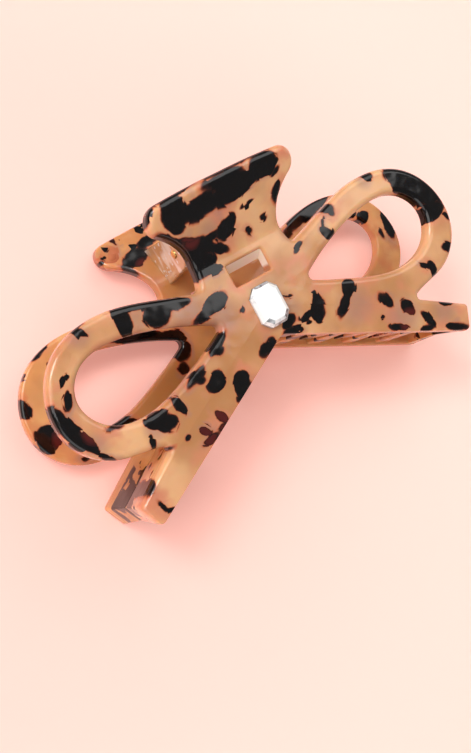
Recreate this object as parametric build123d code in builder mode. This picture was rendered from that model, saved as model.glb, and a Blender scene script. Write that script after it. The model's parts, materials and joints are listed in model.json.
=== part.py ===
from build123d import *
from math import atan2, cos, degrees, hypot, radians, sin, sqrt, tan
import os

os.makedirs("parts", exist_ok=True)

# Bow-shaped claw clip, lying on its back half. X runs along the hinge, Y towards the
# handles and Z up. Each half is drawn in its own plane, which lies midway between the
# halves: x along the hinge, u towards the handles, and w out towards that half's face.

# ---- jaws ----
HALF_DEPTH = 13.8        # mid-plane to the outer face of each plate
PLATE = 3.7              # plate thickness
EDGE_ROUND = 1.4         # rounding of the outer faces' rims
INNER_ROUND = 0.8        # rounding of the inner faces' rims
HANDLE_BEND_U = 17.2     # where the handle starts to flare out
HANDLE_TOP_U = 33.3
HANDLE_FLARE = 28.0      # degrees
HANDLE_CORNER_X = 25.2   # where its top and side would meet unrounded
HANDLE_CORNER = 3.4      # rounding, which leaves the handle 39.5 wide
ROUNDED_OFF = 0.25       # how far the rounding draws in the tails' near end
NECK_HALF_WIDTH = 12.2
BEND_ROUND = 5.0
LOOP_TIP_X = 56.0        # outermost point of the loops
TAIL_NOTCH = (36.0, -13.9)
TAIL_TIP = (49.1, -21.8)
TAIL_HEEL = (46.4, -27.8)
APEX_U = -5.2            # where the two tails meet under the stone
LIP_WIDTH = 6.6          # band along each tail that leans inwards
LIP_LEAN = 7.0           # degrees
WINDOW_U = (8.9, 14.3)
WINDOW_HALF_WIDTH = 5.0
WINDOW_ROUND = 0.6       # rounding of the window's outer rim
WINDOW_LEAN = 1.9        # how much shorter the window is on the inner face

# ---- teeth and end walls ----
TEETH = 4                # on each tail of each half
TOOTH_PITCH = 10.0
FIRST_FRONT_TOOTH = 5.0  # along the tail from the apex
FIRST_BACK_TOOTH = 10.0
TOOTH_WIDTH = 3.4
TOOTH_THICK = 2.8
TOOTH_PAST_MIDDLE = 6.0
TOOTH_TAPER = 2.0        # degrees
WALL = 3.2
WALL_BEHIND_LOOP = 7.6   # how far the tail's upper wall runs on behind the loop
WALL_TAPER = 4.0         # degrees
SEAM_GAP = 0.3           # between the two halves' walls when closed

# ---- hinge ----
HINGE_U = 22.3
LUG_RADIUS = 4.3
LUG_THICK = 2.2
LUG_GAP = 0.3            # between a back lug and the front lug beside it
LUG_OUTER_X = 8.6
LUG_ROOT_U = (16.4, 26.8)
LUG_ROUND = 0.4          # rounding of its flanks
PIN_RADIUS = 1.1
PIN_RUN = 0.05           # radial running clearance in the front lugs
PIN_PROUD = 0.4          # how far each rounded pin end stands out
WIRE = 1.1
COIL_RADIUS = 2.3
COIL_TURNS = 4
COIL_PITCH = 1.22
LEG_ANGLE = 66.0         # degrees between each leg and the u axis
LEG_FOOT = 4.0           # the leg's end, which lies along the handle
LEG_BEND = 1.6
JOINT_BALL = 0.62        # radius of the ball that joins each leg to the coil
JOINT_GAP = 0.15         # space inside that ball between the coil's end and the leg
WIRE_GAP = 0.05

# ---- stone ----
STONE_U = 2.1
STONE_WIDTH = 7.7
STONE_LENGTH = 10.0
STONE_CORNER = 1.9
STONE_SEAT = 0.9         # depth of its seat in the plate
STONE_GIRDLE = 0.6       # straight sides standing out of the seat
STONE_STEPS = ((0.8, 36.0), (0.5, 57.0))  # height and lean of the two rows of facets
SEAT_GAP = 0.05

# ---- how the clip lies ----
# The back half rests on its handle's tip and on its tails' heels.
flare_run = (HANDLE_TOP_U - HANDLE_BEND_U) * tan(radians(HANDLE_FLARE))
lip_drop = LIP_WIDTH * tan(radians(LIP_LEAN))
heel_w = HALF_DEPTH - lip_drop
handle_w = HALF_DEPTH + flare_run
tilt = atan2(handle_w - heel_w, HANDLE_TOP_U - TAIL_HEEL[1])
lowest = TAIL_HEEL[1] * sin(tilt) - heel_w * cos(tilt)
nearest = TAIL_HEEL[1] * cos(tilt) - heel_w * sin(tilt) + ROUNDED_OFF
farthest = HANDLE_TOP_U * cos(tilt) + handle_w * sin(tilt)

front = Plane(
    origin=(0, -(nearest + farthest) / 2, -lowest),
    x_dir=(1, 0, 0),
    z_dir=(0, -sin(tilt), cos(tilt)),
)
back = Plane(origin=front.origin, x_dir=(-1, 0, 0), z_dir=-front.z_dir)

tail_run = (TAIL_HEEL[0], TAIL_HEEL[1] - APEX_U)
tail_length = hypot(*tail_run)
tail_slope = degrees(atan2(tail_run[1], tail_run[0]))
along = Vector(tail_run[0] / tail_length, tail_run[1] / tail_length)
inward = Vector(-along.Y, along.X)


def on_tail(s, depth):
    """Point s along the tail's lower edge from the apex, and depth in from that edge."""
    return Vector(0, APEX_U) + along * s + inward * depth


def handle_face(u, depth):
    """w of the flared handle at u, depth in from its outer face."""
    lean = radians(HANDLE_FLARE)
    return HALF_DEPTH + (u - HANDLE_BEND_U) * tan(lean) - depth / cos(lean)


def side_plane(half, x):
    """Plane across the hinge at x, with its own x along w and its own y along u."""
    origin = half.from_local_coords((x, 0, 0))
    return Plane(origin=origin, x_dir=half.z_dir, z_dir=-half.x_dir)


def plate_profile(plane):
    """Side view of one half's plate and flared handle: x is w and y is u."""
    bend_inner = HANDLE_BEND_U + PLATE * tan(radians(HANDLE_FLARE / 2))
    reach = HANDLE_TOP_U + 3
    low = TAIL_HEEL[1] - 3
    with BuildSketch(plane) as profile:
        with BuildLine():
            Polyline(
                (HALF_DEPTH, low),
                (HALF_DEPTH, HANDLE_BEND_U),
                (handle_face(reach, 0), reach),
                (handle_face(reach, PLATE), reach),
                (HALF_DEPTH - PLATE, bend_inner),
                (HALF_DEPTH - PLATE, low),
                close=True,
            )
        make_face()
        bends = profile.vertices().filter_by(lambda v: abs(v.Y - HANDLE_BEND_U) < 1)
        fillet(bends, BEND_ROUND)
    return profile.sketch


def bow_outline(plane):
    """Front view of one half: handle, two loops and two tails, with all its openings."""
    top = (0, HANDLE_TOP_U)
    handle_corner = (HANDLE_CORNER_X, HANDLE_TOP_U - 1.1)
    crotch = (13.4, 12.0)
    teardrop_point = (13.2, 3.1)
    teardrop_high = (13.82, 4.15)
    teardrop_low = (13.86, 2.03)
    with BuildSketch(plane) as outline:
        with BuildLine():
            Polyline((0, APEX_U), top)
            ThreePointArc(top, (HANDLE_CORNER_X / 2, HANDLE_TOP_U - 0.2), handle_corner)
            Spline(
                handle_corner,
                (18.3, 26.7),
                (15.0, 24.1),
                (12.9, 21.0),
                (NECK_HALF_WIDTH, 17.5),
                crotch,
            )
            Spline(
                crotch,
                (25.0, 15.6),
                (37.6, 18.1),
                (49.1, 15.2),
                (55.2, 7.8),
                (LOOP_TIP_X - 0.5, -3.1),
                (48.3, -10.6),
                (41.0, -12.4),
                TAIL_NOTCH,
            )
            Polyline(TAIL_NOTCH, TAIL_TIP, TAIL_HEEL, (0, APEX_U))
        make_face()
        with BuildLine():
            ThreePointArc(teardrop_low, teardrop_point, teardrop_high)
            Spline(
                teardrop_high,
                (21.7, 7.8),
                (29.6, 10.4),
                (38.1, 11.7),
                (45.9, 9.9),
                (49.7, 3.8),
                (46.6, -2.9),
                (38.9, -5.7),
                (29.9, -4.5),
                (20.9, -1.1),
                teardrop_low,
                tangents=((9, 5), (-8, 4)),
            )
        make_face(mode=Mode.SUBTRACT)
        for corner, radius in (
            (handle_corner, HANDLE_CORNER),
            (crotch, 1.6),
            (TAIL_NOTCH, 0.9),
            (TAIL_TIP, 0.9),
            (TAIL_HEEL, 1.2),
        ):
            fillet(outline.vertices().sort_by_distance(Vector(*corner, 0))[0], radius)
        mirror(about=Plane.YZ)
        fillet(outline.vertices().sort_by_distance(Vector(0, APEX_U, 0))[0], 2.5)
        with Locations((0, sum(WINDOW_U) / 2)):
            RectangleRounded(
                2 * WINDOW_HALF_WIDTH, WINDOW_U[1] - WINDOW_U[0], 0.5, mode=Mode.SUBTRACT
            )
    return outline.sketch


def stone_outline(plane, grow):
    """Emerald-cut outline, grown all round."""
    with BuildSketch(plane) as outline:
        with Locations((0, STONE_U)):
            Rectangle(STONE_WIDTH + 2 * grow, STONE_LENGTH + 2 * grow)
        chamfer(outline.vertices(), STONE_CORNER + (2 - sqrt(2)) * grow)
    return outline.sketch


def lip_cutter(half):
    """Wedges that lean the outer face of both tails inwards below the crease."""
    crease = on_tail(0, LIP_WIDTH)
    crease_at_middle = crease.Y - along.Y / along.X * crease.X
    lean = radians(LIP_LEAN)
    normal = Vector(0, 0, 1) * cos(lean) - inward * sin(lean)
    facet = Plane(
        origin=half.from_local_coords(crease + Vector(0, 0, HALF_DEPTH)),
        x_dir=half.from_local_coords(along) - half.origin,
        z_dir=half.from_local_coords(normal) - half.origin,
    )
    with BuildPart() as cutter:
        with BuildSketch(facet):
            Rectangle(4 * tail_length, 4 * LIP_WIDTH)
        extrude(amount=2 * LIP_WIDTH)
        with BuildSketch(half):
            with BuildLine():
                Polyline(
                    (0, crease_at_middle),
                    on_tail(tail_length + 10, LIP_WIDTH),
                    on_tail(tail_length + 10, -5),
                    (0, APEX_U - 10),
                    close=True,
                )
            make_face()
        extrude(amount=2 * HALF_DEPTH, mode=Mode.INTERSECT)
        mirror(about=Plane.YZ)
    return cutter.part


def tooth_roots(plane, first):
    """Root outlines of one half's teeth on both tails."""
    with BuildSketch(plane) as roots:
        for k in range(TEETH):
            root = on_tail(first + k * TOOTH_PITCH, TOOTH_THICK / 2 + 0.5)
            for sign in (1, -1):
                with Locations(Location((sign * root.X, root.Y, 0), (0, 0, sign * tail_slope))):
                    RectangleRounded(TOOTH_WIDTH, TOOTH_THICK, 0.7)
    return roots.sketch


def wall_roots(plane):
    """Root outlines of the walls round both tails' ends, flush with the bow's outline."""
    runs = (
        (Vector(*TAIL_NOTCH), Vector(*TAIL_TIP), WALL_BEHIND_LOOP),
        (Vector(*TAIL_TIP), Vector(*TAIL_HEEL), 1.0),
    )
    with BuildSketch(plane) as roots:
        for start, end, before in runs:
            step = (end - start).normalized()
            aside = Vector(step.Y, -step.X) * WALL
            first = start - step * before
            last = end + step
            with BuildLine():
                Polyline(first, last, last + aside, first + aside, close=True)
            make_face()
        mirror(about=Plane.YZ)
        add(bow_outline(Plane.XY), mode=Mode.INTERSECT)
    return roots.sketch


def window_ramp(plane):
    """Side view of the window's upper wall, which leans down towards the inner face."""
    top = WINDOW_U[1]
    inner_w = HALF_DEPTH - PLATE
    with BuildSketch(plane) as ramp:
        with BuildLine():
            Polyline(
                (HALF_DEPTH - WINDOW_ROUND, top),
                (HALF_DEPTH - WINDOW_ROUND, top + 0.5),
                (inner_w, top + 0.5),
                (inner_w, top - WINDOW_LEAN),
                close=True,
            )
        make_face()
    return ramp.sketch


def rim_edges(part, half, depth, window=False):
    """Edges on the face that lies depth in from the outer one: the bow's rim, or the window's."""

    def on_rim(edge):
        x, u, w = half.to_local_coords(edge.position_at(0.5))
        face_w = max(HALF_DEPTH - depth, handle_face(u, depth))
        in_window = abs(x) < WINDOW_HALF_WIDTH + 1 and WINDOW_U[0] - 1 < u < WINDOW_U[1] + 1
        in_bend = abs(x) < 1 and WINDOW_U[1] < u < HANDLE_TOP_U - 3
        return abs(w - face_w) < 0.35 and in_window == window and not in_bend

    return part.edges().filter_by(on_rim)


def make_jaw(half, first_tooth):
    """One half's plate with its handle, loops, tails, teeth and end walls."""
    root_w = HALF_DEPTH - PLATE / 2
    root_plane = half.offset(root_w)
    with BuildPart() as jaw:
        extrude(plate_profile(side_plane(half, 0)), amount=LOOP_TIP_X + 5, both=True)
        extrude(bow_outline(half), amount=2 * handle_w, mode=Mode.INTERSECT)
        fillet(rim_edges(jaw.part, half, 0), EDGE_ROUND)
        fillet(rim_edges(jaw.part, half, PLATE), INNER_ROUND)
        fillet(rim_edges(jaw.part, half, 0, window=True), WINDOW_ROUND)
        ramp_plane = side_plane(half, WINDOW_HALF_WIDTH)
        extrude(window_ramp(ramp_plane), amount=2 * WINDOW_HALF_WIDTH)
        add(lip_cutter(half), mode=Mode.SUBTRACT)
        extrude(
            tooth_roots(root_plane, first_tooth),
            amount=-(root_w + TOOTH_PAST_MIDDLE),
            taper=TOOTH_TAPER,
        )
        extrude(
            wall_roots(root_plane),
            amount=-(root_w - SEAM_GAP / 2),
            taper=WALL_TAPER,
        )
    return jaw.part


def make_lug(half, x, bore):
    """Hinge lug glued inside one handle, from x towards lower x, with its pin hole."""
    low, high = LUG_ROOT_U

    def on_flank(edge):
        edge_x, u, w = half.to_local_coords(edge.position_at(0.5))
        across = abs(edge.tangent_at(0.5).X) < 0.5
        at_root = w > handle_face(u, PLATE) - 0.5
        at_bore = hypot(u - HINGE_U, w) < LUG_RADIUS - 0.5
        return across and not at_root and not at_bore

    with BuildPart() as lug:
        with BuildSketch(side_plane(half, x)) as profile:
            with BuildLine():
                Polyline(
                    (0, HINGE_U + LUG_RADIUS),
                    (handle_face(high, PLATE / 2), high),
                    (handle_face(low, PLATE / 2), low),
                    (0, HINGE_U - LUG_RADIUS),
                    close=True,
                )
            make_face()
            with Locations((0, HINGE_U)):
                Circle(LUG_RADIUS)
                Circle(bore, mode=Mode.SUBTRACT)
            add(plate_profile(Plane.XY), mode=Mode.SUBTRACT)
        extrude(amount=LUG_THICK)
        fillet(lug.edges().filter_by(on_flank), LUG_ROUND)
    return lug.part


with BuildPart() as front_jaw:
    add(make_jaw(front, FIRST_FRONT_TOOTH))
    extrude(
        stone_outline(front.offset(HALF_DEPTH - STONE_SEAT), SEAT_GAP),
        amount=PLATE,
        mode=Mode.SUBTRACT,
    )
front_jaw.part.label = "front_jaw"
export_step(front_jaw.part, "parts/front_jaw.step")

with BuildPart() as back_jaw:
    add(make_jaw(back, FIRST_BACK_TOOTH))
back_jaw.part.label = "back_jaw"
export_step(back_jaw.part, "parts/back_jaw.step")

with BuildPart() as crystal:
    seat_w = HALF_DEPTH - STONE_SEAT
    extrude(stone_outline(front.offset(seat_w), 0), amount=STONE_SEAT + STONE_GIRDLE)
    step_w = HALF_DEPTH + STONE_GIRDLE
    inset = 0
    for step_height, step_lean in STONE_STEPS:
        outline = stone_outline(front.offset(step_w), -inset)
        extrude(outline, amount=step_height, taper=step_lean)
        step_w += step_height
        inset += step_height * tan(radians(step_lean))
crystal.part.label = "crystal"
export_step(crystal.part, "parts/crystal.step")

front_lug_x = LUG_OUTER_X - LUG_THICK - LUG_GAP
for half, name, outer_x, bore in (
    (front, "front", front_lug_x, PIN_RADIUS + PIN_RUN),
    (back, "back", LUG_OUTER_X, PIN_RADIUS),
):
    for side, sign in (("right", half.x_dir.X), ("left", -half.x_dir.X)):
        with BuildPart() as lug:
            add(make_lug(half, outer_x if sign > 0 else LUG_THICK - outer_x, bore))
        lug.part.label = f"{name}_lug_{side}"
        export_step(lug.part, f"parts/{lug.part.label}.step")

pin_reach = LUG_OUTER_X + PIN_PROUD
with BuildPart() as hinge_pin:
    with BuildSketch(side_plane(front, pin_reach)):
        with Locations((0, HINGE_U)):
            Circle(PIN_RADIUS)
    extrude(amount=2 * pin_reach)
    fillet(hinge_pin.edges().filter_by(GeomType.CIRCLE), PIN_PROUD)
hinge_pin.part.label = "hinge_pin"
export_step(hinge_pin.part, "parts/hinge_pin.step")

# The coil winds round the pin from the front leg, near one end, to the back leg.
coil_share = COIL_TURNS + (180 - 2 * LEG_ANGLE) / 360
coil_half = coil_share * COIL_PITCH / 2
leg_lean = radians(LEG_ANGLE)
coil_start = Plane(
    origin=front.from_local_coords((coil_half, HINGE_U, 0)),
    x_dir=front.z_dir * cos(leg_lean) - front.y_dir * sin(leg_lean),
    z_dir=-front.x_dir,
)
to_face = radians(LEG_ANGLE - HANDLE_FLARE)
face_distance = handle_face(HINGE_U, PLATE) * cos(radians(HANDLE_FLARE)) - WIRE / 2 - WIRE_GAP
leg_length = (face_distance - COIL_RADIUS * cos(to_face)) / sin(to_face)
leg_run = Vector(sin(leg_lean), cos(leg_lean))
leg_root = Vector(COIL_RADIUS * cos(leg_lean), HINGE_U - COIL_RADIUS * sin(leg_lean))
leg_start = leg_root + leg_run * JOINT_GAP
leg_knee = leg_root + leg_run * leg_length
foot_run = Vector(sin(radians(HANDLE_FLARE)), cos(radians(HANDLE_FLARE))) * LEG_FOOT

coil_path = coil_start * Helix(COIL_PITCH, 2 * coil_half, COIL_RADIUS, lefthand=True)
leg_paths = [
    side_plane(half, coil_half)
    * FilletPolyline(leg_start, leg_knee, leg_knee + foot_run, radius=LEG_BEND)
    for half in (front, back)
]

with BuildPart() as torsion_spring:
    for path in (coil_path, *leg_paths):
        with BuildSketch(Plane(origin=path @ 0, z_dir=path % 0)):
            Circle(WIRE / 2)
        sweep(path=path, is_frenet=path is coil_path)
    with Locations(coil_path @ 0, coil_path @ 1):
        Sphere(JOINT_BALL)
torsion_spring.part.label = "torsion_spring"
export_step(torsion_spring.part, "parts/torsion_spring.step")
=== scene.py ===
import json
import math

import bmesh
import bpy
from mathutils import Matrix, Vector


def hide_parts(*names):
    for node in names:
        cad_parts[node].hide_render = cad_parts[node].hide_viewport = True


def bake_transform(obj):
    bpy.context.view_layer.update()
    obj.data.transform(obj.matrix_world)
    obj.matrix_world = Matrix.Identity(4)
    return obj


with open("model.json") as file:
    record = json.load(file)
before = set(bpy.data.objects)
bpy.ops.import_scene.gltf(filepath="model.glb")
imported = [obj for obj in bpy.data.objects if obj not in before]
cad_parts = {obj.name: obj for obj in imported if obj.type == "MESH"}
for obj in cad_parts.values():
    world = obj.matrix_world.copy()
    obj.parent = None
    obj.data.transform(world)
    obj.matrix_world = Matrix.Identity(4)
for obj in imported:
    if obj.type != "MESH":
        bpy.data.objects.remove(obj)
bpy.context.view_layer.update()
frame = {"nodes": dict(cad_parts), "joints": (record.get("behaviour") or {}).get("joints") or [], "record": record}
nodes = frame["nodes"]

MM = 0.001

# ---- the clip's own axes: x along the hinge, u towards the handles, w out of the front ----
# These five repeat the CAD's dimensions; lengths are in millimetres.
HINGE_U = 22.3
HANDLE_BEND_U = 17.2
HANDLE_FLARE = math.radians(28)
PLATE = 3.7
HALF_DEPTH = 13.8         # from the plane between the halves to each plate's outer face
mounts = {mount["name"]: mount for mount in frame["record"]["mounts"]}
W_AXIS = -Vector(mounts["back_face"]["axis"]).normalized()
U_AXIS = Vector((0, W_AXIS.z, -W_AXIS.y))
TILT = math.atan2(U_AXIS.z, U_AXIS.y)
CLIP_ORIGIN = Vector(frame["joints"][0]["pos_m"]) - U_AXIS * HINGE_U * MM
CLIP_ORIGIN.x = 0


def at(x, u, w):
    """Point in the row frame from clip coordinates in millimetres."""
    return CLIP_ORIGIN + (Vector((x, 0, 0)) + U_AXIS * u + W_AXIS * w) * MM


def rgb(r, g, b):
    """Scene-linear colour from a screen colour of 0 to 255."""
    def linear(c):
        c /= 255
        return c / 12.92 if c <= 0.04045 else ((c + 0.055) / 1.055) ** 2.4
    return (linear(r), linear(g), linear(b), 1.0)


# ---- node helpers ----
class Graph:
    """A material's node tree, with short calls for the nodes used here."""

    def __init__(self, name):
        self.material = bpy.data.materials.new(name)
        self.material.use_nodes = True
        self.tree = self.material.node_tree
        self.tree.nodes.clear()
        self.output = self.tree.nodes.new("ShaderNodeOutputMaterial")

    def node(self, kind, inputs=None, **settings):
        made = self.tree.nodes.new("ShaderNode" + kind)
        for key, value in settings.items():
            setattr(made, key, value)
        for key, value in (inputs or {}).items():
            self.put(made.inputs[key], value)
        return made

    def put(self, socket, value):
        if isinstance(value, bpy.types.NodeSocket):
            self.tree.links.new(value, socket)
        else:
            socket.default_value = value

    def math(self, operation, a, b=0.0, c=0.0):
        return self.node("Math", {0: a, 1: b, 2: c}, operation=operation).outputs[0]

    def vector(self, operation, a, b=(0.0, 0.0, 0.0)):
        return self.node("VectorMath", {0: a, 1: b}, operation=operation).outputs["Vector"]

    def length(self, a):
        return self.node("VectorMath", {0: a}, operation="LENGTH").outputs["Value"]

    def step(self, value, low, high):
        """0 below low, 1 above high and smooth between."""
        inputs = {"Value": value, "From Min": low, "From Max": high}
        return self.node("MapRange", inputs, interpolation_type="SMOOTHSTEP").outputs["Result"]

    def mix(self, share, a, b):
        return self.node("Mix", {"Factor": share, 6: a, 7: b}, data_type="RGBA").outputs[2]

    def ramp(self, value, stops):
        """Colour for a value of 0 to 1, from (place, colour) pairs."""
        made = self.node("ValToRGB", {0: value})
        ramp = made.color_ramp
        ramp.elements[0].position, ramp.elements[0].color = stops[0]
        ramp.elements[1].position, ramp.elements[1].color = stops[-1]
        for place, colour in stops[1:-1]:
            ramp.elements.new(place).color = colour
        return made.outputs["Color"]

    def noise(self, where, scale, detail=2.0, roughness=0.5):
        inputs = {"Vector": where, "Scale": scale, "Detail": detail, "Roughness": roughness}
        return self.node("TexNoise", inputs)

    def cells(self, where, scale, smoothness=0.3):
        """A random value of 0 to 1 for each cell, blended at the cells' borders."""
        inputs = {"Vector": where, "Scale": scale, "Smoothness": smoothness}
        made = self.node("TexVoronoi", inputs, feature="SMOOTH_F1")
        return self.node("SeparateColor", {0: made.outputs["Color"]}).outputs[0]

    def clip_coordinates(self):
        """Object coordinates turned to the clip's axes, in millimetres."""
        inputs = {
            "Vector": self.node("TexCoord").outputs["Object"],
            "Location": CLIP_ORIGIN,
            "Rotation": (TILT, 0, 0),
            "Scale": (MM, MM, MM),
        }
        return self.node("Mapping", inputs, vector_type="TEXTURE").outputs[0]

    def bump(self, height, strength, distance):
        inputs = {"Height": height, "Strength": strength, "Distance": distance}
        return self.node("Bump", inputs).outputs[0]

    def shader(self, inputs):
        made = self.node("BsdfPrincipled", inputs)
        self.put(self.output.inputs["Surface"], made.outputs[0])
        return self.material


# ---- tortoiseshell acetate ----
# Dark flakes placed one by one: x, u, half length, half width (mm) and angle from x (degrees).
FRONT_FLAKES = [
    # left loop, upper arm
    (-32.8, 14.5, 3.6, 2, 90), (-29, 16, 3.5, 1.3, -12), (-25.2, 12.4, 3.2, 3, -10),
    (-20.5, 12.4, 4.2, 1.4, -16), (-42.2, 16.4, 2, 1, -50), (-43, 18.3, 2.2, 0.4, 0),
    (-11.8, 8, 3.7, 2, 12), (-15.8, 6.9, 2.6, 1, 14),
    # left loop, round end and lower arm
    (-54.6, 0.5, 5.5, 1.6, -80), (-52.8, -3.2, 4.2, 1.4, -70), (-51.6, 5.2, 2.2, 0.9, 60),
    (-50.5, 9.4, 1.7, 0.6, 28), (-51.5, -7.5, 4.5, 0.5, -48), (-45, -4.3, 1.8, 0.6, -10),
    (-36.4, -7.6, 3.1, 2, -12), (-34.6, -9.2, 2.5, 2.1, -5), (-30.4, -7.1, 2.3, 1, -75),
    (-39.9, -11.2, 1.6, 0.7, 65), (-37.8, -13.7, 1.4, 0.4, -10), (-32.2, -13.9, 0.8, 0.6, 30),
    (-28, -14.9, 1.6, 1.1, -40), (-27.5, -17.1, 2.1, 0.8, 5), (-22.5, -14.3, 2.1, 1, -55),
    (-23.8, -16.1, 1.3, 0.5, 10), (-24, -3.6, 3, 1, 22), (-23.6, -4.7, 1.1, 0.9, 0),
    (-20.2, -6.9, 2.8, 2, 25), (-15, -10, 2.7, 2.3, 50), (-15.2, -12.2, 2.9, 1.3, 20),
    (-15.8, 0.1, 3.2, 1, 28), (-16.2, -1.2, 1.4, 0.9, 0), (-44.6, -19.2, 1.9, 0.9, 32),
    (-44.6, -24.2, 1.4, 0.6, -70), (-43.3, -25.5, 1.4, 0.6, -15), (-50, -18.6, 3.5, 0.5, 25),
    # round the stone
    (-6.6, 3.8, 0.7, 0.8, 0), (5.1, 1.9, 1.3, 0.4, -25), (2.6, -3.6, 2.1, 1.3, 10),
    (2.8, -5.9, 2.8, 0.9, -14), (-4.9, -6.2, 2.7, 1.3, 28), (10.9, -4.2, 3.2, 1.8, 70),
    (7.6, -4.3, 2.6, 0.9, 5), (11.6, -1.5, 1.3, 0.8, 60), (7.4, -5.8, 0.7, 0.4, 0),
    # right arms and tail
    (20.6, -3.6, 2.2, 1.9, 40), (17.7, -6.3, 3, 1.2, 38), (28, -10.8, 2.4, 1.3, 98),
    (32.8, -14.6, 2.4, 1.5, -65), (28.4, -17.8, 2.9, 0.9, -28), (36.9, -20, 2.8, 1.1, -68),
    (35.6, -21.8, 1.9, 0.7, -14), (43.2, -18.7, 2, 1, -28), (43.4, -25.2, 3.4, 0.9, -30),
    (25.2, -13.9, 0.45, 0.45, 0), (44.2, -10.3, 2.2, 1, 95), (42.6, -8.7, 2, 0.6, -42),
    (51.4, -7.1, 1.9, 1.2, -30), (39.5, 17.3, 1.6, 1, -60), (24.9, 15.1, 2, 1.3, -35),
    (25.6, 13.9, 1.2, 0.8, 90), (22.4, 10.2, 2, 1.2, -55), (22.7, 12.6, 1.2, 0.4, 65),
    (13.6, 10.3, 1.9, 0.7, 22), (47, 14.6, 3.4, 2.6, -32), (51.4, 8, 5, 3, -66),
    (46.6, 11.4, 2.6, 1.8, -45), (48.6, 8.4, 3, 2.2, -65), (51.6, 12.4, 4.6, 2, -52),
    (54.4, 6.6, 3.4, 1.2, -76),
    (51, 2.4, 4.6, 2.1, 3), (55, -0.5, 1.2, 0.8, -60), (-2, -7.6, 1.5, 0.5, -30),
    # handle
    (-13.4, 29.4, 4, 3.1, 85), (-6, 28, 6.5, 2.1, 4), (2, 28.6, 6, 2.6, 8),
    (11.4, 30.3, 4, 2.8, 8), (7, 28.8, 4, 1.2, 10), (0.5, 31.3, 5.5, 1.5, 2),
    (13.8, 27.6, 1.5, 0.5, 20), (-9, 33.4, 9, 0.8, 3), (5, 33.6, 9, 0.8, 0),
    (-18.9, 31.3, 3.5, 0.45, 50), (-16.6, 24, 3.2, 1.5, -55), (-12, 20.4, 4.4, 2.4, -12),
    (-8, 20.6, 3, 1.5, -25), (-10.6, 17.6, 4.5, 2.4, -6), (-10.2, 15.2, 4.3, 1.2, -8),
    (-5, 18.6, 2.5, 1.2, -35), (-1.7, 21.8, 3.2, 2, 26), (-6.6, 21.4, 2.8, 0.9, 15),
    (-12.3, 23.4, 3.1, 0.6, -16), (-14, 20, 5, 1.5, -72), (-10.6, 21.8, 2.6, 1, 10),
    (4.8, 24.2, 1.7, 0.5, 12), (4, 18.9, 0.8, 0.7, 0), (8.4, 19.9, 1.1, 0.6, 0),
    (13.3, 23.7, 2.2, 1, 55),
]
BACK_FLAKES = [
    # left loop
    (-55, 7.5, 1.8, 2.6, 10), (-53, -1.2, 3, 3.2, 0), (-46.4, 16.8, 1.6, 0.7, 25),
    (-44, 17.6, 1.6, 0.4, 15), (-51.2, 13.9, 1, 0.6, 30), (-44.8, 12.9, 1.2, 0.5, -75),
    (-47.7, -9.3, 0.8, 0.5, -20), (-22, 9, 8, 1.4, -24), (-14.5, 5.5, 3.5, 1.6, -30),
    (-14, 1.3, 2.6, 2.2, 30), (-16, -2.4, 1.6, 1.5, -60), (-35, -6.5, 3, 1.1, -18),
    # right loop and arm
    (34, 16.3, 8.5, 1.7, 14), (27.5, 14.3, 2, 1, 20), (48.9, 8.7, 1.9, 1.5, 20),
    (46.6, 10.3, 1.4, 0.5, 10), (51.8, 2.5, 0.5, 1.2, 0), (55.1, 4.2, 1.7, 4.4, -8),
    # handle
    (-11.5, 26.3, 3.6, 2.1, 12), (-6.3, 28.5, 2.9, 1.5, 0), (-14.6, 24, 2, 0.6, -60),
    (-4, 31.7, 1.2, 0.6, 0), (-19.3, 29.2, 0.5, 0.4, 0), (-18.2, 29.9, 0.5, 0.4, 0),
]

FLAKE_BLACK = rgb(10, 7, 8)
FLAKE_BROWN = rgb(40, 19, 15)
FLAKE_RED = rgb(110, 52, 36)
FLAKE_EDGE = rgb(196, 112, 76)
FLAKE_WINE = rgb(84, 26, 24)
SMOKE = rgb(166, 124, 112)
# Pale colour of the painted highlight on the walls inside the front window.
WINDOW_HIGHLIGHT_PALE = rgb(255, 236, 220)

# Round spots as x, u and radius (mm): wine-red flakes, dusky pink parts of the front sheet, and
# the walls inside the front window, which are coloured paler than the sheet as a painted highlight.
WINE_SPOTS = [(-26, -15, 7), (-11, 23.2, 3), (32, -18, 4), (-50, -3, 3.5)]
SMOKE_SPOTS = [
    (-19, 9.5, 7), (-12, 5, 6), (-43, 16, 4), (-51, -6, 4), (-38, -9, 3.5), (31, -16, 7),
    (42, -20, 5), (13, 14.5, 3), (38, 17, 3.5), (20, -8, 7), (4, -1, 5), (-6, 22, 5), (-30, 13, 4),
]
WINDOW_HIGHLIGHT_SPOTS = [(-4, 13.2, 3.6), (-1.5, 13.2, 3.6), (1.5, 13.2, 3.6), (4, 13.2, 3.6)]
# Each half's pale, deep and rosy shades, then the spots where it is palest and deepest.
FRONT_SHEET = (
    rgb(226, 176, 130), rgb(188, 132, 86), rgb(212, 138, 106),
    [(36, 15, 16), (-45, -8, 12), (50, -20, 11), (16, 31, 13), (4, 22, 8), (-44, -23, 11)],
    [(-24, -8, 20), (-12, 6, 11), (24, -10, 12), (7, 7, 7)],
)
BACK_SHEET = (
    rgb(230, 172, 116), rgb(194, 132, 78), rgb(208, 130, 86),
    # The first pale spot, behind the front window, is painted light that brightens the shade seen through the
    # window.
    [(10, 12, 11), (46, 4, 14)],
    [(-22, -6, 16), (-12, 24, 12)],
)

# Lengths in millimetres.
PLATE_BACK = 9.4    # w a little behind the plates' inner faces
FLAKE_REACH = 2.5   # distances from a placed flake stop growing here
FLAKE_JOIN = 0.5    # how smoothly placed flakes that touch run together
KEEP_OFF = 20.0     # added to the random flakes' distance where flakes are placed one by one
DRIFT = 1.0         # how far noise shifts the flakes' outlines: slowly,
SHARDS = 0.7        # in broken steps,
RAGGED = 0.22       # and finely
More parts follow.
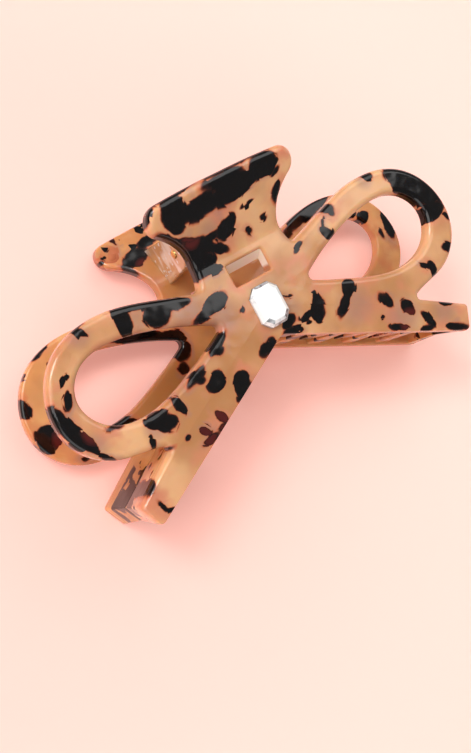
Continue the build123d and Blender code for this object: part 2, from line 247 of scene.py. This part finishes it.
# Random flakes, large and small: cells' scale, the cell value above which one starts, and how
# steeply its distance falls with that value.
CHIPS = ((0.17, 0.62, 9.0), (0.5, 0.82, 5.0))


def flake_field(g, place, flakes):
    """Distance in millimetres outside the nearest flake, negative inside it."""
    flat = g.node("Mapping", {"Vector": place, "Scale": (1, 1, 0)}).outputs[0]
    field = FLAKE_REACH
    for x, u, half_length, half_width, angle in flakes:
        size = min(half_length, half_width)
        grown = 1 + FLAKE_REACH / size
        inputs = {
            "Vector": flat,
            "Location": (x, u, 0),
            "Rotation": (0, 0, math.radians(angle)),
            "Scale": (half_length * grown, half_width * grown, 1),
        }
        own = g.node("Mapping", inputs, vector_type="TEXTURE").outputs[0]
        within = g.node("TexGradient", {"Vector": own}, gradient_type="SPHERICAL").outputs["Fac"]
        own = g.math("MULTIPLY_ADD", within, -grown * size, FLAKE_REACH)
        field = g.math("SMOOTH_MIN", field, own, FLAKE_JOIN)
    return field


def spots(g, place, places):
    """1 at the middle of each round spot, falling to 0 at its radius."""
    flat = g.node("Mapping", {"Vector": place, "Scale": (1, 1, 0)}).outputs[0]
    share = 0.0
    for x, u, radius in places:
        inputs = {"Vector": flat, "Location": (x, u, 0), "Scale": (radius, radius, 1)}
        own = g.node("Mapping", inputs, vector_type="TEXTURE").outputs[0]
        within = g.node("TexGradient", {"Vector": own}, gradient_type="SPHERICAL").outputs["Fac"]
        share = g.math("MAXIMUM", share, within)
    return share


def chip_field(g, place):
    """The same kind of distance, for flakes scattered at random through the sheet."""
    large, small = (
        g.math("MULTIPLY_ADD", g.cells(place, scale), -steep, clear * steep)
        for scale, clear, steep in CHIPS
    )
    return g.math("MINIMUM", large, small)


def bend(g, place):
    """The place shifted by noise, which breaks up the flakes' outlines."""
    shifts = (
        (g.noise(place, 0.4, 1.0), DRIFT),
        (g.node("TexVoronoi", {"Vector": place, "Scale": 0.3}), SHARDS),
        (g.noise(place, 1.7, 2.0), RAGGED),
    )
    bent = place
    for texture, reach in shifts:
        centred = g.vector("SUBTRACT", texture.outputs["Color"], (0.5, 0.5, 0.5))
        bent = g.vector("ADD", bent, g.vector("MULTIPLY", centred, (reach, reach, reach)))
    return bent


def random_share(g, depth, facing):
    """1 where flakes are random, 0 on the faces where they are placed one by one."""
    share = g.step(depth, PLATE_BACK, PLATE_BACK - 1.2)
    if facing < 0:
        outer = g.step(depth, HALF_DEPTH - 1.4, HALF_DEPTH - 0.4)
        share = g.math("MAXIMUM", share, outer)
    return share


def honey_sheet(g, place, seeded, field, palette):
    """The sheet between the flakes: pale and deep clouds, and rosy near some flakes."""
    pale, deep, rosy, pale_spots, deep_spots = palette
    cloud = g.noise(seeded, 0.09, 2.0).outputs["Fac"]
    tone = g.math("SUBTRACT", spots(g, place, pale_spots), spots(g, place, deep_spots))
    cloud = g.math("MULTIPLY_ADD", tone, 0.35, cloud)
    honey = g.mix(g.step(cloud, 0.2, 0.8), deep, pale)
    warm = g.step(g.noise(seeded, 0.12, 2.0).outputs["Fac"], 0.45, 0.68)
    near = g.step(field, 4.5, 0.3)
    rosiness = g.math("MULTIPLY", warm, g.math("MULTIPLY_ADD", near, 0.7, 0.25))
    return g.mix(rosiness, honey, rosy)


def smoke_share(g, place, field, facing):
    """How dusky the sheet is: round some flakes, and in the front half's dusky spots."""
    smoky = g.step(g.noise(place, 0.16, 1.0).outputs["Fac"], 0.5, 0.7)
    share = g.math("MULTIPLY", g.step(field, 1.6, 0.2), g.math("MULTIPLY", smoky, 0.6))
    if facing > 0:
        dusk = g.math("MULTIPLY", g.step(spots(g, place, SMOKE_SPOTS), 0.0, 0.8), 0.55)
        share = g.math("MAXIMUM", share, dusk)
    return share


def window_highlight_share(g, place, depth):
    """1 on the walls inside the window, within the plate's thickness, which get a painted highlight."""
    below_face = g.step(depth, HALF_DEPTH - 0.4, HALF_DEPTH - 0.9)
    in_plate = g.step(depth, PLATE_BACK, PLATE_BACK + 0.6)
    at_window = g.step(spots(g, place, WINDOW_HIGHLIGHT_SPOTS), 0.0, 0.25)
    return g.math("MULTIPLY", g.math("MULTIPLY", below_face, in_plate), at_window)


def flake_colours(g, place, field, sheet):
    """The sheet with its flakes, each darker from its edge inwards."""
    colour = g.mix(g.step(field, 0.4, 0.08), sheet, FLAKE_EDGE)
    colour = g.mix(g.step(field, 0.18, 0.0), colour, FLAKE_RED)
    colour = g.mix(g.step(field, 0.08, -0.08), colour, FLAKE_BROWN)
    core = g.mix(g.step(spots(g, place, WINE_SPOTS), 0.05, 0.5), FLAKE_BLACK, FLAKE_WINE)
    return g.mix(g.step(field, 0.0, -0.4), colour, core)


def tortoiseshell(name, flakes, palette, facing, seed):
    """Glossy acetate sheet, honey and amber with dark flakes; facing is 1 in front, -1 behind."""
    g = Graph(name)
    place = g.clip_coordinates()
    depth = g.math("MULTIPLY", g.node("SeparateXYZ", {0: place}).outputs[2], facing)
    bent = bend(g, place)
    placed = flake_field(g, bent, flakes)
    seeded = g.vector("ADD", bent, (seed * 31.0, seed * 17.0, seed * 7.0))
    scattered = chip_field(g, seeded)
    kept_off = g.math("MULTIPLY_ADD", random_share(g, depth, facing), -KEEP_OFF, KEEP_OFF)
    field = g.math("MINIMUM", placed, g.math("ADD", scattered, kept_off))
    softness = g.step(g.noise(place, 0.13, 1.0).outputs["Fac"], 0.38, 0.68)
    field = g.math("DIVIDE", field, g.math("MULTIPLY_ADD", softness, 1.1, 0.45))

    sheet = honey_sheet(g, place, seeded, field, palette)
    sheet = g.mix(smoke_share(g, place, field, facing), sheet, SMOKE)
    # The walls inside the front window are coloured pale: a painted highlight.
    if facing > 0:
        sheet = g.mix(window_highlight_share(g, place, depth), sheet, WINDOW_HIGHLIGHT_PALE)
    fine = g.noise(place, 3.0, 3.0).outputs["Fac"]
    return g.shader({
        "Base Color": flake_colours(g, place, field, sheet),
        "Roughness": g.math("MULTIPLY_ADD", fine, 0.05, 0.07),
        "IOR": 1.5,
        "Subsurface Weight": 0.55,
        "Subsurface Radius": (1.0, 0.45, 0.2),
        "Subsurface Scale": 0.003,
        "Normal": g.bump(g.noise(place, 0.22, 1.0).outputs["Fac"], 0.12, 0.001),
    })


def lug_acetate():
    """Clear, faintly amber acetate, with moulding streaks whose pale colour is a painted highlight, and a few
    bubbles.
    """
    g = Graph("lug_acetate")
    place = g.clip_coordinates()
    streaks = g.noise(g.vector("MULTIPLY", place, (0.7, 0.1, 0.3)), 1.0, 1.0).outputs["Fac"]
    bubbles = g.cells(place, 1.6, 0.1)
    # The streaks' near-white colour is a painted highlight; their roughness and bump are the surface's own.
    colour = g.mix(g.step(streaks, 0.5, 0.62), rgb(228, 176, 126), rgb(255, 238, 222))
    colour = g.mix(g.step(bubbles, 0.93, 0.96), colour, rgb(255, 255, 255))
    return g.shader({
        "Base Color": colour,
        "Roughness": g.math("MULTIPLY_ADD", streaks, 0.06, 0.02),
        "IOR": 1.49,
        "Transmission Weight": 0.3,
        "Coat Weight": 1.0,
        "Normal": g.bump(streaks, 0.3, 0.0012),
    })


def metal(name, colour, dull, rough, stretch):
    """Drawn metal with fine rings and a little tarnish."""
    g = Graph(name)
    place = g.clip_coordinates()
    rings = g.noise(g.vector("MULTIPLY", place, stretch), 2.0, 3.0).outputs["Fac"]
    tarnish = g.step(g.noise(place, 0.8, 3.0).outputs["Fac"], 0.4, 0.7)
    return g.shader({
        "Base Color": g.mix(tarnish, colour, dull),
        "Metallic": 1.0,
        "Roughness": g.math("MULTIPLY_ADD", rings, 0.2, rough),
        "Normal": g.bump(rings, 0.2, 0.0001),
    })


def glass_stone():
    """Foiled glass with painted glints: the table is painted bright, and some facets round it painted grey."""
    g = Graph("stone")
    facet = {"Vector": g.node("NewGeometry").outputs["True Normal"]}
    to_object = {"vector_type": "NORMAL", "convert_from": "WORLD", "convert_to": "OBJECT"}
    normal = g.node("VectorTransform", facet, **to_object).outputs[0]
    glint = g.noise(g.vector("MULTIPLY", normal, (9.0, 9.0, 9.0)), 1.0, 0.0).outputs["Fac"]
    fire = g.noise(g.clip_coordinates(), 0.9, 2.0).outputs["Fac"]
    along_u = g.node("VectorMath", {0: normal, 1: U_AXIS}, operation="DOT_PRODUCT")
    to_ends = g.step(g.math("ABSOLUTE", along_u.outputs["Value"]), 0.3, 0.75)
    light = g.math("MULTIPLY_ADD", fire, 0.3, g.math("MULTIPLY", glint, 0.8))
    # Painted glints and reflections: each facet's colour is bright or grey by the way it faces, greyer towards the
    # stone's ends.
    facet_glints = g.ramp(
        g.math("MULTIPLY_ADD", to_ends, -0.13, light),
        [(0.3, rgb(84, 88, 92)), (0.42, rgb(196, 200, 204)), (0.5, rgb(252, 252, 252))],
    )
    return g.shader({
        "Base Color": facet_glints,
        "Roughness": g.math("MULTIPLY_ADD", fire, 0.06, 0.02),
        "IOR": 1.6,
        "Coat Weight": 1.0,
        "Coat Roughness": 0.02,
        "Normal": g.bump(fire, 0.05, 0.0005),
    })


def dress(piece, material):
    """Give the piece this material alone."""
    piece.data.materials.clear()
    piece.data.materials.append(material)


dress(nodes["front_jaw"], tortoiseshell("tortoiseshell_front", FRONT_FLAKES, FRONT_SHEET, 1, 1))
dress(nodes["back_jaw"], tortoiseshell("tortoiseshell_back", BACK_FLAKES, BACK_SHEET, -1, 2))
dress(nodes["crystal"], glass_stone())
lug = lug_acetate()
for name in nodes:
    if "lug" in name:
        dress(nodes[name], lug)
brass = metal("pin_brass", rgb(226, 190, 120), rgb(170, 128, 72), 0.15, (6.0, 1.0, 1.0))
dress(nodes["hinge_pin"], brass)

# ---- spring: a coil round the pin, with a leg along each handle ----
WIRE = 1.1
COIL_RADIUS = 2.3
COIL_TURNS = 4
COIL_PITCH = 1.22
LEG_LEAN = math.radians(66)
LEG_FOOT = 4.0            # the leg's end, which lies along the handle
WIRE_GAP = 0.05           # between the foot and the handle
KNEE_ON_FOOT = 0.4        # how much of the foot the knee's bend takes up
KNEE_ON_LEG = 0.25        # and how much of the leg
KNEE_STEPS = 10
STEPS_PER_TURN = 40


def handle_gap():
    """Distance from the pin's axis to the handle's inner face, at right angles to it."""
    w = HALF_DEPTH + (HINGE_U - HANDLE_BEND_U) * math.tan(HANDLE_FLARE)
    return (w - PLATE / math.cos(HANDLE_FLARE)) * math.cos(HANDLE_FLARE)


def spring_line():
    """The wire's middle line from front foot to back foot, and half the coil's length."""
    turns = COIL_TURNS + (math.pi - 2 * LEG_LEAN) / math.tau
    coil_half = turns * COIL_PITCH / 2
    to_face = LEG_LEAN - HANDLE_FLARE
    reach = handle_gap() - WIRE / 2 - WIRE_GAP
    leg = (reach - COIL_RADIUS * math.cos(to_face)) / math.sin(to_face)
    root = Vector((COIL_RADIUS * math.cos(LEG_LEAN), HINGE_U - COIL_RADIUS * math.sin(LEG_LEAN)))
    knee = root + Vector((math.sin(LEG_LEAN), math.cos(LEG_LEAN))) * leg
    foot = knee + Vector((math.sin(HANDLE_FLARE), math.cos(HANDLE_FLARE))) * LEG_FOOT

    def leg_points(sign):
        """One leg from its foot, round the knee, on the side of this sign."""
        points = [Vector((sign * coil_half, foot.y, sign * foot.x))]
        start, end = knee.lerp(foot, KNEE_ON_FOOT), knee.lerp(root, KNEE_ON_LEG)
        for i in range(KNEE_STEPS + 1):
            share = i / KNEE_STEPS
            bend_shares = (1 - share) ** 2, 2 * share * (1 - share), share ** 2
            w, u = start * bend_shares[0] + knee * bend_shares[1] + end * bend_shares[2]
            points.append(Vector((sign * coil_half, u, sign * w)))
        return points

    coil = []
    count = round(turns * STEPS_PER_TURN)
    for i in range(count + 1):
        share = i / count
        turn = -LEG_LEAN - share * turns * math.tau
        w, u = COIL_RADIUS * math.cos(turn), HINGE_U + COIL_RADIUS * math.sin(turn)
        coil.append(Vector((coil_half * (1 - 2 * share), u, w)))
    return leg_points(1) + coil + leg_points(-1)[::-1], coil_half


def tube(name, line, radius, sides=16):
    """A round wire along a line of points, closed at both ends."""
    mesh = bmesh.new()
    rings = []
    turns = [math.tau * k / sides for k in range(sides)]
    across = Vector((1, 0, 0))
    for i, spot in enumerate(line):
        along = (line[min(i + 1, len(line) - 1)] - line[max(i - 1, 0)]).normalized()
        across = (across - along * across.dot(along)).normalized()
        other = along.cross(across)
        rings.append([
            mesh.verts.new(spot + (across * math.cos(t) + other * math.sin(t)) * radius)
            for t in turns
        ])
    for first, second in zip(rings, rings[1:]):
        for k in range(sides):
            n = (k + 1) % sides
            mesh.faces.new((first[k], first[n], second[n], second[k]))
    mesh.faces.new(rings[0][::-1])
    mesh.faces.new(rings[-1])
    bmesh.ops.recalc_face_normals(mesh, faces=mesh.faces)
    for face in mesh.faces:
        face.smooth = len(face.verts) == 4
    data = bpy.data.meshes.new(name)
    mesh.to_mesh(data)
    mesh.free()
    piece = bpy.data.objects.new(name, data)
    bpy.context.scene.collection.objects.link(piece)
    return piece


line, coil_half = spring_line()
spring = tube("spring_wire", [at(point.x, point.y, point.z) for point in line], WIRE / 2 * MM)
dress(spring, metal("spring_steel", rgb(196, 196, 200), rgb(120, 116, 112), 0.2, (2.0, 2.0, 2.0)))
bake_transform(spring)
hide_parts("torsion_spring")

# ---- floor, backdrop, lights and camera; lengths here are in metres ----
FLOOR_SIZE = 6
# Painted shade: the paper is darker and pinker round the clip than elsewhere.
FLOOR_SHADE_PINK = (0.89, 0.52, 0.46, 1)     # the paper near FLOOR_SHADE_SPOT, and its colour elsewhere
FLOOR_PALE = (0.93, 0.62, 0.55, 1)
FLOOR_SHADE_SPOT = (-0.07, 0.03, 0.0)
NEAR_GLOW = (1.0, 0.45, 0.37, 1)       # the faint glow that keeps shadows soft near the clip
FAR_GLOW = (1.0, 0.86, 0.78, 1)        # and the paler one far from it
BACKDROP_RADIUS = 2.9
BACKDROP_HEIGHT = 6
BACKDROP_FOOT = -0.1                   # just under the floor


def floor_paper():
    """Pale pink paper with a fine grain, darker and pinker round the clip as painted shade; it glows, faintly near
    the clip to soften shadows and more far from it, where it looks paler.
    """
    g = Graph("floor")
    spot = g.node("TexCoord").outputs["Object"]
    grain = g.noise(spot, 400.0, 3.0).outputs["Fac"]
    from_floor_shade = g.length(g.vector("SUBTRACT", spot, FLOOR_SHADE_SPOT))
    far = g.step(g.length(spot), 0.3, 1.2)
    return g.shader({
        "Base Color": g.mix(g.step(from_floor_shade, 0.06, 0.17), FLOOR_SHADE_PINK, FLOOR_PALE),
        "Roughness": 0.8,
        "Emission Color": g.mix(far, NEAR_GLOW, FAR_GLOW),
        "Emission Strength": g.math("MULTIPLY_ADD", far, 0.65, 0.35),
        "Normal": g.bump(grain, 0.02, 0.0002),
    })


bpy.ops.mesh.primitive_plane_add(size=FLOOR_SIZE, location=(0, 0, 0))
floor = bpy.context.object
floor.name = "floor"
dress(floor, floor_paper())

# A wall far round the floor, which only the camera sees, closes the view from the sides.
bpy.ops.mesh.primitive_cylinder_add(
    vertices=96,
    radius=BACKDROP_RADIUS,
    depth=BACKDROP_HEIGHT,
    end_fill_type="NOTHING",
    location=(0, 0, BACKDROP_FOOT + BACKDROP_HEIGHT / 2),
)
backdrop = bpy.context.object
backdrop.name = "backdrop"
for way in ("diffuse", "glossy", "transmission", "shadow"):
    setattr(backdrop, "visible_" + way, False)
dress(backdrop, Graph("backdrop").shader({
    "Base Color": (0, 0, 0, 1),
    "Roughness": 1.0,
    "Emission Color": FAR_GLOW,
    "Emission Strength": 1.0,
}))


def area_light(name, direction, distance, size, radiance, colour=(1, 1, 1)):
    """A softbox that faces the clip from this direction and looks this bright from there."""
    data = bpy.data.lights.new(name, "AREA")
    data.shape = "RECTANGLE"
    data.size, data.size_y = size
    data.energy = radiance * math.pi * size[0] * size[1]
    data.color = colour
    lamp = bpy.data.objects.new(name, data)
    toward = Vector(direction).normalized()
    lamp.location = toward * distance
    lamp.rotation_euler = toward.to_track_quat("Z", "Y").to_euler()
    bpy.context.scene.collection.objects.link(lamp)


# The softbox is what the front plate's dark flakes reflect; its lower edge ends their sheen.
area_light("softbox", (0.45, 0.28, 0.84), 1.0, (0.9, 0.64), 1.9, (1, 0.99, 0.98))
area_light("window", (-0.5, 0.3, 0.81), 1.3, (1.1, 1.1), 2.6, (1, 0.99, 0.98))
area_light("lamp", (-0.35, 0.45, 0.82), 1.3, (0.4, 0.4), 9)
area_light("fill", (-0.7, -0.5, 0.5), 1.3, (0.9, 0.9), 1.6, (1, 0.97, 0.95))
world = bpy.data.worlds.new("studio")
world.use_nodes = True
background = world.node_tree.nodes["Background"]
background.inputs["Color"].default_value = (1, 0.97, 0.95, 1)
background.inputs["Strength"].default_value = 0.22
bpy.context.scene.world = world
bpy.context.scene.view_settings.view_transform = "Standard"

# The camera stands in front, to the left and high above, and is rolled. Its place and its
# directions are written in the clip's own axes.
CAMERA_SPOT = at(-114.8, 15.7, 234.8)
CAMERA_RIGHT = Vector((0.786, 0, 0)) - U_AXIS * 0.469 + W_AXIS * 0.403
CAMERA_DOWN = Vector((-0.464, 0, 0)) - U_AXIS * 0.878 - W_AXIS * 0.114
camera_data = bpy.data.cameras.new("camera")
camera_data.lens = 52.8
camera = bpy.data.objects.new("camera", camera_data)
right = CAMERA_RIGHT.normalized()
up = (-CAMERA_DOWN - right * right.dot(-CAMERA_DOWN)).normalized()
turn = Matrix((right, up, right.cross(up))).transposed()
camera.matrix_world = Matrix.Translation(CAMERA_SPOT) @ turn.to_4x4()
bpy.context.scene.collection.objects.link(camera)
bpy.context.scene.camera = camera
